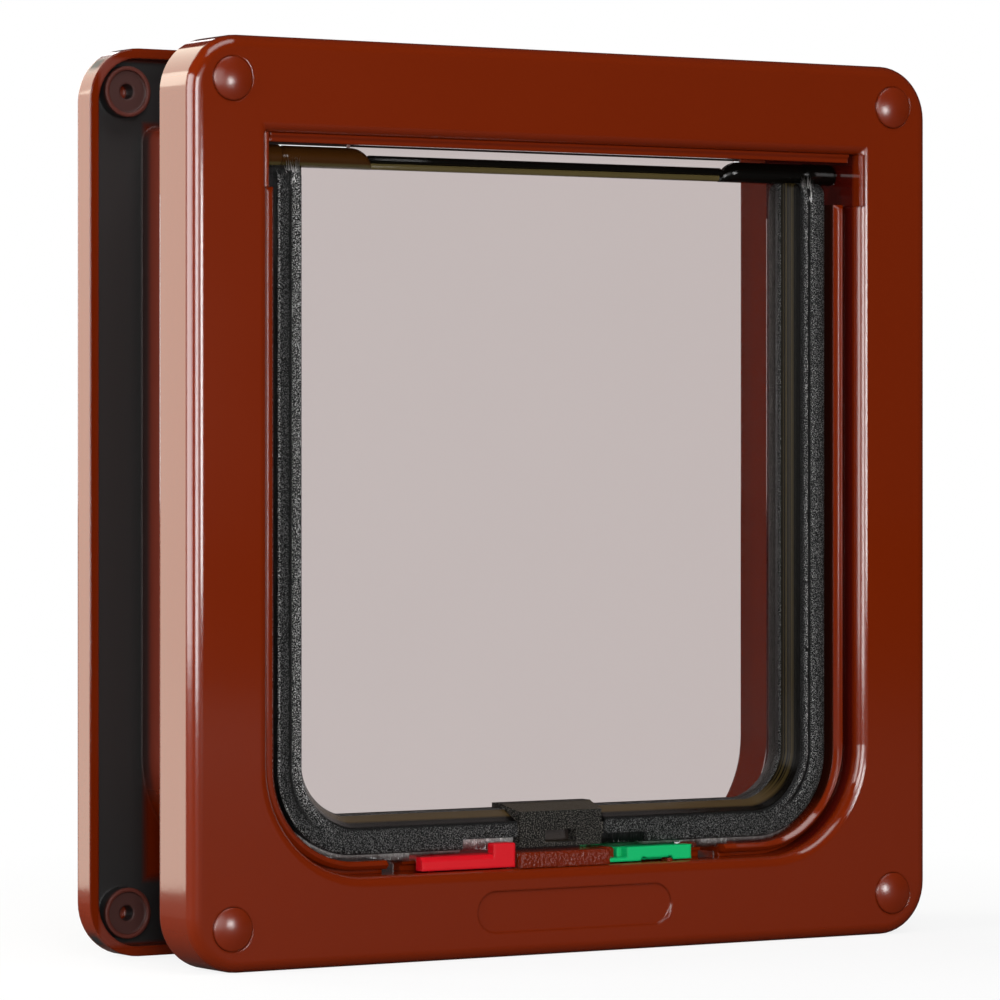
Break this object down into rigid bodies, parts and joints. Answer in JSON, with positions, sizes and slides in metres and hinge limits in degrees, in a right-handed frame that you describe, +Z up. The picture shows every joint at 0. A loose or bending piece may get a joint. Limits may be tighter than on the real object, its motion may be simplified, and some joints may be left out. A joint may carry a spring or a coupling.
{
  "type": "cat flap",
  "caption": "Square framed cat flap for a door: smoked swinging flap with a brush seal, two sliding sill locks, and a telescoping rear frame that clamps the door.",
  "frame": {"origin": "centre of the bounding box at its bottom", "axes": "+Z up, -Y towards the room and the front face, +X to the right when looking at the front face"},
  "size_m": [0.194, 0.0542, 0.2],
  "materials": {
    "brown_plastic": "glossy",
    "brown_matt": "matt",
    "smoked": "clear smoked",
    "carrier": "glossy",
    "magnet": "matt ferrite",
    "pile": "brush pile",
    "red_plastic": "glossy",
    "green_plastic": "glossy"
  },
  "bodies": {
    "front": {"front_frame": "brown_plastic", "hinge_retainer": "brown_plastic", "hinge_cover_left": "brown_plastic", "hinge_cover_right": "brown_plastic", "screw_cap_lower_left": "brown_plastic", "screw_cap_upper_left": "brown_plastic", "screw_cap_lower_right": "brown_plastic", "screw_cap_upper_right": "brown_plastic", "sill_block": "brown_matt", "sill_magnet": "magnet"},
    "flap": {"flap": "smoked", "magnet_carrier": "carrier", "flap_magnet": "magnet", "brush_seal_left": "pile", "brush_seal_right": "pile"},
    "red_slide": {"lock_slide_red": "red_plastic"},
    "green_slide": {"lock_slide_green": "green_plastic"},
    "rear": {"rear_frame": "brown_plastic"}
  },
  "joints": [
    {"name": "flap_swing", "type": "hinge", "parent": "front", "child": "flap", "pos_m": [0, -0.01445, 0.1747], "axis": [1, 0, 0], "range_deg": [-65, 80]},
    {"name": "red_lock", "type": "slide", "parent": "front", "child": "red_slide", "axis": [-1, 0, 0], "range_m": [0, 0.007]},
    {"name": "green_lock", "type": "slide", "parent": "front", "child": "green_slide", "axis": [1, 0, 0], "range_m": [0, 0.007]},
    {"name": "door_fit", "type": "slide", "parent": "front", "child": "rear", "axis": [0, 1, 0], "range_m": [-0.015, 0.014]}
  ]
}
